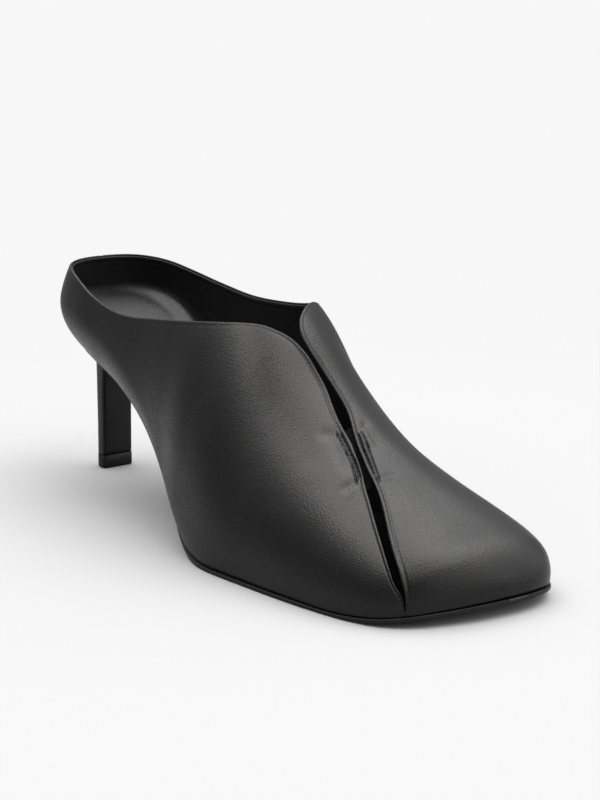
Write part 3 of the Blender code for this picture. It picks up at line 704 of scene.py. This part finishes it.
# Section of the strip: across, depth under the outer face
STRIP_SECTION = ((-0.005, 0.0019), (-0.0025, 0.0021), (-0.0010, 0.0034), (0.0010, 0.0034), (0.0025, 0.0021),
                 (0.005, 0.0019), (0.005, 0.0025), (0.0028, 0.0030), (0, 0.0041), (-0.0028, 0.0030),
                 (-0.005, 0.0025))
# Ends of each stitch row on the plan: along, across, along_end, across_end
STITCH_ROWS = (
    (0.1772, -0.0106, 0.1845, -0.0123),
    (0.1845, -0.0123, 0.1896, -0.0138),
    (0.1896, -0.0138, 0.1958, -0.0168),
    (0.1780, -0.0097, 0.1886, -0.0121),
    (0.1886, -0.0121, 0.1950, -0.0148),
    (0.1791, -0.0039, 0.1855, -0.0063),
    (0.1855, -0.0063, 0.1960, -0.0098),
    (0.1796, -0.0023, 0.1844, -0.0038),
    (0.1844, -0.0038, 0.1984, -0.0097),
    (0.1772, -0.0106, 0.1780, -0.0097),
    (0.1958, -0.0168, 0.1950, -0.0148),
    (0.1791, -0.0039, 0.1796, -0.0023),
    (0.1960, -0.0098, 0.1984, -0.0097),
)


def on_face(along, across, lift=0.0):
    """Point of the finished outer face over a plan place, raised along the normal."""
    eps = 0.0004

    def up(a, x):
        return float(section("feather_up", a) + rise_at(a, x))

    slope_a = (up(along + eps, across) - up(along - eps, across)) / (2 * eps)
    slope_x = (up(along, across + eps) - up(along, across - eps)) / (2 * eps)
    n = np.array([-slope_x, -slope_a, 1.0])
    n /= np.linalg.norm(n)
    point = np.array([across, along, up(along, across)])
    return point + n * (lift - float(crease_depth(point[None])[0]))


thread = bpy.data.materials.new("black_thread")
thread.use_nodes = True
thread_shader = thread.node_tree.nodes["Principled BSDF"]
thread_twist = thread.node_tree.nodes.new("ShaderNodeTexNoise")
thread_twist.inputs["Scale"].default_value = 4000.0
thread_bump = thread.node_tree.nodes.new("ShaderNodeBump")
thread_bump.inputs["Distance"].default_value = 0.0001
thread_where = thread.node_tree.nodes.new("ShaderNodeTexCoord")
thread.node_tree.links.new(thread_where.outputs["Object"], thread_twist.inputs["Vector"])
thread.node_tree.links.new(thread_twist.outputs["Fac"], thread_bump.inputs["Height"])
thread.node_tree.links.new(thread_bump.outputs["Normal"], thread_shader.inputs["Normal"])
thread_shader.inputs["Base Color"].default_value = (0.006, 0.006, 0.006, 1.0)
thread_shader.inputs["Roughness"].default_value = 0.42

row_verts = []
row_edges = []
for a0, x0, a1, x1 in STITCH_ROWS:
    spots = max(3, int(math.dist((a0, x0), (a1, x1)) / ROW_STEP))
    first = len(row_verts)
    for t in np.linspace(0, 1, spots):
        row_verts.append(place(on_face(a0 + (a1 - a0) * t, x0 + (x1 - x0) * t, STITCH_LIFT)).tolist())
    row_edges += [(first + k, first + k + 1) for k in range(spots - 1)]
row_mesh = bpy.data.meshes.new("stitch_rows")
row_mesh.from_pydata(row_verts, row_edges, [])
row_holder = bpy.data.objects.new("stitch_rows", row_mesh)
bpy.context.scene.collection.objects.link(row_holder)

tree = bpy.data.node_groups.new("lockstitch", "GeometryNodeTree")
tree.interface.new_socket("Geometry", in_out="INPUT", socket_type="NodeSocketGeometry")
for socket_name, socket_value in (("Pitch", STITCH_PITCH), ("Length", STITCH_LENGTH),
                                  ("Thickness", STITCH_THICK)):
    made_socket = tree.interface.new_socket(socket_name, in_out="INPUT", socket_type="NodeSocketFloat")
    made_socket.default_value = socket_value
tree.interface.new_socket("Geometry", in_out="OUTPUT", socket_type="NodeSocketGeometry")
group_in = tree.nodes.new("NodeGroupInput")
group_out = tree.nodes.new("NodeGroupOutput")
to_curve = tree.nodes.new("GeometryNodeMeshToCurve")
spaced = tree.nodes.new("GeometryNodeResampleCurve")
if hasattr(spaced, "mode"):
    spaced.mode = "LENGTH"
level = tree.nodes.new("GeometryNodeSetCurveNormal")
level.mode = "Z_UP"
spots_node = tree.nodes.new("GeometryNodeCurveToPoints")
spots_node.mode = "EVALUATED"
bead = tree.nodes.new("GeometryNodeMeshUVSphere")
bead.inputs["Segments"].default_value = 10
bead.inputs["Rings"].default_value = 8
bead.inputs["Radius"].default_value = 0.5
size = tree.nodes.new("ShaderNodeCombineXYZ")
shaped = tree.nodes.new("GeometryNodeTransform")
laid = tree.nodes.new("GeometryNodeInstanceOnPoints")
real = tree.nodes.new("GeometryNodeRealizeInstances")
dyed = tree.nodes.new("GeometryNodeSetMaterial")
dyed.inputs["Material"].default_value = thread
tree.links.new(group_in.outputs["Geometry"], to_curve.inputs[0])
tree.links.new(to_curve.outputs[0], spaced.inputs["Curve"])
tree.links.new(group_in.outputs["Pitch"], spaced.inputs["Length"])
tree.links.new(spaced.outputs[0], level.inputs["Curve"])
tree.links.new(level.outputs[0], spots_node.inputs["Curve"])
tree.links.new(spots_node.outputs["Points"], laid.inputs["Points"])
tree.links.new(spots_node.outputs["Rotation"], laid.inputs["Rotation"])
tree.links.new(group_in.outputs["Thickness"], size.inputs["X"])
tree.links.new(group_in.outputs["Thickness"], size.inputs["Y"])
tree.links.new(group_in.outputs["Length"], size.inputs["Z"])
tree.links.new(bead.outputs["Mesh"], shaped.inputs["Geometry"])
tree.links.new(size.outputs[0], shaped.inputs["Scale"])
tree.links.new(shaped.outputs[0], laid.inputs["Instance"])
tree.links.new(laid.outputs[0], real.inputs[0])
tree.links.new(real.outputs[0], dyed.inputs["Geometry"])
tree.links.new(dyed.outputs[0], group_out.inputs["Geometry"])
sewing = row_holder.modifiers.new("sewing", "NODES")
sewing.node_group = tree
bpy.context.view_layer.update()
sewn = row_holder.evaluated_get(bpy.context.evaluated_depsgraph_get())
stitch_mesh = bpy.data.meshes.new_from_object(sewn)
stitch_mesh.name = "tack_stitches"
bpy.data.objects.remove(row_holder, do_unlink=True)
stitch_mesh.shade_smooth()
stitches = bpy.data.objects.new("tack_stitches", stitch_mesh)
bpy.context.scene.collection.objects.link(stitches)
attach(stitches, "root")

elastic = leather("tack_elastic", (0.001, 0.001, 0.001), 0.85, 0.0009, 0.3)
elastic.node_tree.nodes["Principled BSDF"].inputs["Specular IOR Level"].default_value = 0.1
strip_rows = []
for t in np.linspace(-0.08, 1.08, 26):
    along = TACK_START + (TACK_END - TACK_START) * t
    middle = STRIP_MIDDLE[0] + (STRIP_MIDDLE[1] - STRIP_MIDDLE[0]) * t
    strip_rows.append([on_face(along, middle + across, -depth) for across, depth in STRIP_SECTION])


def loft_faces(ring_count, round_count):
    """Faces of a closed skin over equal rings, with flat ends."""
    faces = []
    for i in range(ring_count - 1):
        for j in range(round_count):
            m = (j + 1) % round_count
            here, after = i * round_count, (i + 1) * round_count
            faces.append((here + j, here + m, after + m, after + j))
    faces.append(tuple(range(round_count))[::-1])
    faces.append(tuple((ring_count - 1) * round_count + j for j in range(round_count)))
    return faces


def make_loft(name, loft, material):
    """Object of one closed skin over rings given in shoe measures."""
    loft = np.array(loft)
    return make_object(name, place(loft).reshape(-1, 3), loft_faces(*loft.shape[:2]), (material,))


strip = make_loft("tack_strip", strip_rows, elastic)
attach(strip, "root")

# Insole. A foam-padded board under one black leather sock, built up under the heel
# and dished there, glued in so that its edge meets the lining all round.
INSOLE_CLEARANCE = 0.0007
FIT_GAP = 0.0003
DISH_DEPTH = 0.0018
DISH_MIDDLE = 0.036
DISH_HALF_LENGTH = 0.024
DISH_HALF_WIDTH = 0.0150
DISH_RIM = (1.30, 0.42)     # where the dish begins and how much of its reach it takes to fall
EDGE_ROUNDING = 0.0012
END_MARGIN = 0.0001
INSOLE_LEVELS = (0.0, 0.2, 0.4, 0.6, 0.8, 0.92)
INSOLE_STATIONS = 120
INSOLE_COLUMNS = ("along", "thick")
INSOLE_ROWS = (
    (0.0000, 0.2262),
    (0.0575, 0.2286),
    (0.1110, 0.2167),
    (0.2055, 0.1667),
    (0.3000, 0.1250),
    (0.3864, 0.0952),
    (0.4644, 0.0714),
    (0.5343, 0.0548),
    (0.5960, 0.0429),
    (0.7398, 0.0357),
    (1.0000, 0.0310),
)


def insole_rise(along):
    """Height of the insole top over the feather line."""
    return table_value(INSOLE_ROWS, INSOLE_COLUMNS, "thick", np.asarray(along) / LENGTH) * COLLAR_HEIGHT


def lining_path(side, level):
    """Plan path of the insole edge against the lining at a share of the insole rise."""
    path = LATERAL_PATH if side < 0 else MEDIAL_PATH
    along = np.maximum(path[:, 0], CUP_LENGTH)
    target = np.column_stack([along, section("ridge_across", along)])
    wanted = insole_rise(path[:, 0]) * level
    low, high = np.zeros(len(path)), np.ones(len(path))
    for _ in range(30):
        mid = (low + high) / 2
        point = path + (target - path) * mid[:, None]
        under = rise_at(point[:, 0], point[:, 1]) < wanted
        low = np.where(under, mid, low)
        high = np.where(under, high, mid)
    point = path + (target - path) * low[:, None]
    inset = tuck_at(wanted, point[:, 0]) + WALL + INSOLE_CLEARANCE
    return point - path_outward(path, side) * inset[:, None]


def across_at(path, along):
    """Across position of a moved side path."""
    return float(np.interp(along, np.maximum.accumulate(path[:, 0]), path[:, 1]))


edge_paths = [[lining_path(side, level) for side in (-1, 1)] for level in INSOLE_LEVELS]
edge_ends = [(max(p[:, 0].min() for p in pair) + END_MARGIN, min(p[:, 0].max() for p in pair) - END_MARGIN)
             for pair in edge_paths]
insole_rings = []
for part in np.linspace(0, 1, INSOLE_STATIONS):
    share = (1 - math.cos(part * math.pi)) / 2
    ends = []
    for level, pair, (back, front) in zip(INSOLE_LEVELS, edge_paths, edge_ends):
        along = back + (front - back) * share
        up = float(section("feather_up", along)) + FIT_GAP / 3 + float(insole_rise(along)) * level
        ends.append((across_at(pair[0], along), across_at(pair[1], along), along, up))
    left, right, along, up = ends[0]
    ring = [(x, along, up) for x in np.linspace(right, left, 9)]
    ring += [(row[0], row[2], row[3]) for row in ends[1:]]
    left, right, along, up = ends[-1]
    crown = float(section("feather_up", along)) + FIT_GAP / 3 + float(insole_rise(along))
    for spot in np.linspace(0, 1, 41)[1:-1]:
        x = left + (right - left) * (0.5 - 0.5 * math.cos(spot * math.pi))
        edge = min(x - left, right - x)
        near_end = min(along - edge_ends[-1][0], edge_ends[-1][1] - along)
        fall = math.exp(-edge / EDGE_ROUNDING) + math.exp(-near_end / EDGE_ROUNDING)
        reach = math.hypot(x / DISH_HALF_WIDTH, (along - DISH_MIDDLE) / DISH_HALF_LENGTH)
        dip = np.clip((DISH_RIM[0] - reach) / DISH_RIM[1], 0, 1)
        sink = DISH_DEPTH * dip * dip * (3 - 2 * dip)
        ring.append((x, along, crown - (crown - up) * min(fall, 1.0) - sink))
    ring += [(row[1], row[2], row[3]) for row in ends[1:][::-1]]
    insole_rings.append(ring)
sock_leather = leather("sock_leather", (0.0032, 0.0032, 0.0032), 0.33, 0.0007, 0.14)
sock_leather.node_tree.nodes["Principled BSDF"].inputs["Specular IOR Level"].default_value = 0.2
insole = make_loft("padded_insole", insole_rings, sock_leather)
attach(insole, "root")
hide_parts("insole")

# Sole. A thin moulded black sole, stuck on: its edge stands proud round the forefoot,
# tucks under the waist and runs on between the heel cup and the heel block.
SOLE_THICKNESS = 0.0015
SEAT_THICKNESS = 0.0017
SOLE_LIP = 0.0005
SOLE_ROUNDING = 0.0005
SOLE_STATIONS = 220
# Rounded edges of the sole's top and underside: share of the rounding in from the side, drop
TOP_EDGE = ((0.0, 0.0004), (0.12, 0.0002), (0.45, 0.00006), (1.0, 0.0))
FOOT_EDGE = ((1.0, 0.0), (0.45, 0.00008), (0.12, 0.00025), (0.0, 0.0005))


def sole_thick(along):
    """Thickness of the sole, which changes from seat to forefoot."""
    return float(np.interp(along / LENGTH, (0.25, 0.55), (SEAT_THICKNESS, SOLE_THICKNESS)))


def sole_path(side):
    """Plan path of the sole edge."""
    path = LATERAL_PATH if side < 0 else MEDIAL_PATH
    lip = np.interp(path[:, 0] / LENGTH, (0.30, 0.46, 0.56), (-0.0014, -0.0004, SOLE_LIP))
    return path - path_outward(path, side) * (section("tuck", path[:, 0]) - lip)[:, None]


sole_paths = [sole_path(side) for side in (-1, 1)]
sole_start = max(path[:, 0].min() for path in sole_paths) + END_MARGIN
sole_end = min(path[:, 0].max() for path in sole_paths) - END_MARGIN
sole_rings = []
for part in np.linspace(0, 1, SOLE_STATIONS):
    along = sole_start + (sole_end - sole_start) * (1 - math.cos(part * math.pi)) / 2
    left, right = (across_at(path, along) for path in sole_paths)
    top = float(section("feather_up", along)) - FIT_GAP
    under = top - sole_thick(along)
    if along > 0.5 * LENGTH:
        under = max(under, 0.0)
    edge = min(SOLE_ROUNDING, 0.2 * (right - left))
    across = np.linspace(left, right, 14)[1:-1]
    ring = [(left + edge * s, along, top - d) for s, d in TOP_EDGE]
    ring += [(x, along, top) for x in across]
    ring += [(right - edge * s, along, top - d) for s, d in TOP_EDGE[::-1]]
    ring += [(right - edge * s, along, under + d) for s, d in FOOT_EDGE[::-1]]
    ring += [(x, along, under) for x in across[::-1]]
    ring += [(left + edge * s, along, under + d) for s, d in FOOT_EDGE]
    sole_rings.append(ring)


def moulded_rubber(name, colour, roughness, scale):
    """Moulded black sole rubber with a faint even texture."""
    material = bpy.data.materials.new(name)
    material.use_nodes = True
    nodes, links = material.node_tree.nodes, material.node_tree.links
    shader = nodes["Principled BSDF"]
    where = nodes.new("ShaderNodeTexCoord")
    speck = nodes.new("ShaderNodeTexNoise")
    speck.inputs["Scale"].default_value = scale
    speck.inputs["Detail"].default_value = 5.0
    links.new(where.outputs["Object"], speck.inputs["Vector"])
    bump = nodes.new("ShaderNodeBump")
    bump.inputs["Strength"].default_value = 0.35
    bump.inputs["Distance"].default_value = 0.00015
    links.new(speck.outputs["Fac"], bump.inputs["Height"])
    links.new(bump.outputs["Normal"], shader.inputs["Normal"])
    tone = nodes.new("ShaderNodeMix")
    tone.data_type = "RGBA"
    tone.inputs["A"].default_value = (*[c * 0.75 for c in colour], 1.0)
    tone.inputs["B"].default_value = (*[c * 1.35 for c in colour], 1.0)
    links.new(speck.outputs["Fac"], tone.inputs["Factor"])
    links.new(tone.outputs["Result"], shader.inputs["Base Color"])
    shader.inputs["Roughness"].default_value = roughness
    shader.inputs["Specular IOR Level"].default_value = 0.3
    return material


sole_rubber = moulded_rubber("sole_rubber", (0.004, 0.004, 0.004), 0.45, 900.0)
sole = make_loft("moulded_sole", sole_rings, sole_rubber)
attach(sole, "root")
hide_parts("sole")

# Heel. A slim hard block covered in the upper leather, screwed up through the seat: flat
# breast, rounded back, a quick flare under the heel cup.
TIP_HEIGHT = 0.0056
HEEL_ACROSS = -0.0008
HEEL_ROUND = 96
HEEL_MIDDLE = 0.34          # of the depth, from the breast to the widest place
BREAST_POWER = 9.0
BACK_POWER = 2.0
HEEL_COLUMNS = ("up", "back", "front", "half_width", "slope")
HEEL_RINGS = (
    (0.5500, 0.0436, 0.1315, 0.1880, 1.0000),
    (0.5339, 0.0415, 0.1258, 0.1759, 0.9700),
    (0.4964, 0.0395, 0.1085, 0.1398, 0.8000),
    (0.4536, 0.0382, 0.0912, 0.1024, 0.5000),
    (0.4000, 0.0378, 0.0797, 0.0867, 0.2000),
    (0.3464, 0.0374, 0.0756, 0.0819, 0.0500),
    (0.2500, 0.0370, 0.0744, 0.0801, 0.0000),
    (0.0893, 0.0370, 0.0732, 0.0795, 0.0000),
    (0.0000, 0.0366, 0.0723, 0.0795, 0.0000),
)


def heel_ring(back, front, half, slope, up):
    """One D-shaped ring of the heel, flat at the front."""
    middle = front - HEEL_MIDDLE * (front - back)
    ring = []
    for angle in np.linspace(0, 2 * math.pi, HEEL_ROUND, endpoint=False):
        c, s = math.cos(angle), math.sin(angle)
        power = BREAST_POWER if s > 0 else BACK_POWER
        reach = (front - middle) if s > 0 else (middle - back)
        across = HEEL_ACROSS * (1 - slope) + half * math.copysign(abs(c) ** (2 / power), c)
        along = middle + reach * math.copysign(abs(s) ** (2 / power), s)
        seat = float(section("feather_up", along)) - 2 * FIT_GAP - sole_thick(along)
        ring.append((across, along, up * (1 - slope) + seat * slope))
    return ring


heel_rows = HEEL_RINGS[::-1]
straight, flared = heel_rows[2][0], heel_rows[-1][0]
heel_rings = []
for share in np.concatenate([np.linspace(0, straight, 10), np.linspace(straight, flared, 46)[1:]]):
    values = [float(table_value(heel_rows, HEEL_COLUMNS, k, share)) for k in HEEL_COLUMNS[1:]]
    back, front, half = values[0] * LENGTH, values[1] * LENGTH, values[2] * BALL_WIDTH
    up = TIP_HEIGHT + share * (COLLAR_HEIGHT - TIP_HEIGHT)
    heel_rings.append(heel_ring(back, front, half, min(max(values[3], 0.0), 1.0), up))
heel_leather = leather("heel_leather", (0.0026, 0.0025, 0.0025), 0.30, 0.0006, 0.10)
heel = make_loft("covered_heel", heel_rings, heel_leather)
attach(heel, "root")
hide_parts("heel")

# Top piece. A replaceable block of hard rubber under the heel, pinned up into it.
tip_back, tip_front = HEEL_RINGS[-1][1] * LENGTH, HEEL_RINGS[-1][2] * LENGTH
tip_half = HEEL_RINGS[-1][3] * BALL_WIDTH
# Rings from the top down: height, how far each stands out past the foot of the heel
TIP_RINGS = ((TIP_HEIGHT - 0.00025, -0.0003), (TIP_HEIGHT - 0.00045, 0.00008), (0.0030, 0.0001),
             (0.0006, 0.0001), (0.0002, -0.0001), (0.0, -0.0004))
tip_rings = [heel_ring(tip_back - grow, tip_front + grow, tip_half + grow, 0.0, up) for up, grow in TIP_RINGS]
tip_rubber = moulded_rubber("tip_rubber", (0.0035, 0.0035, 0.0035), 0.5, 1400.0)
tip = make_loft("top_piece", tip_rings, tip_rubber)
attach(tip, "root")
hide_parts("heel_tip")
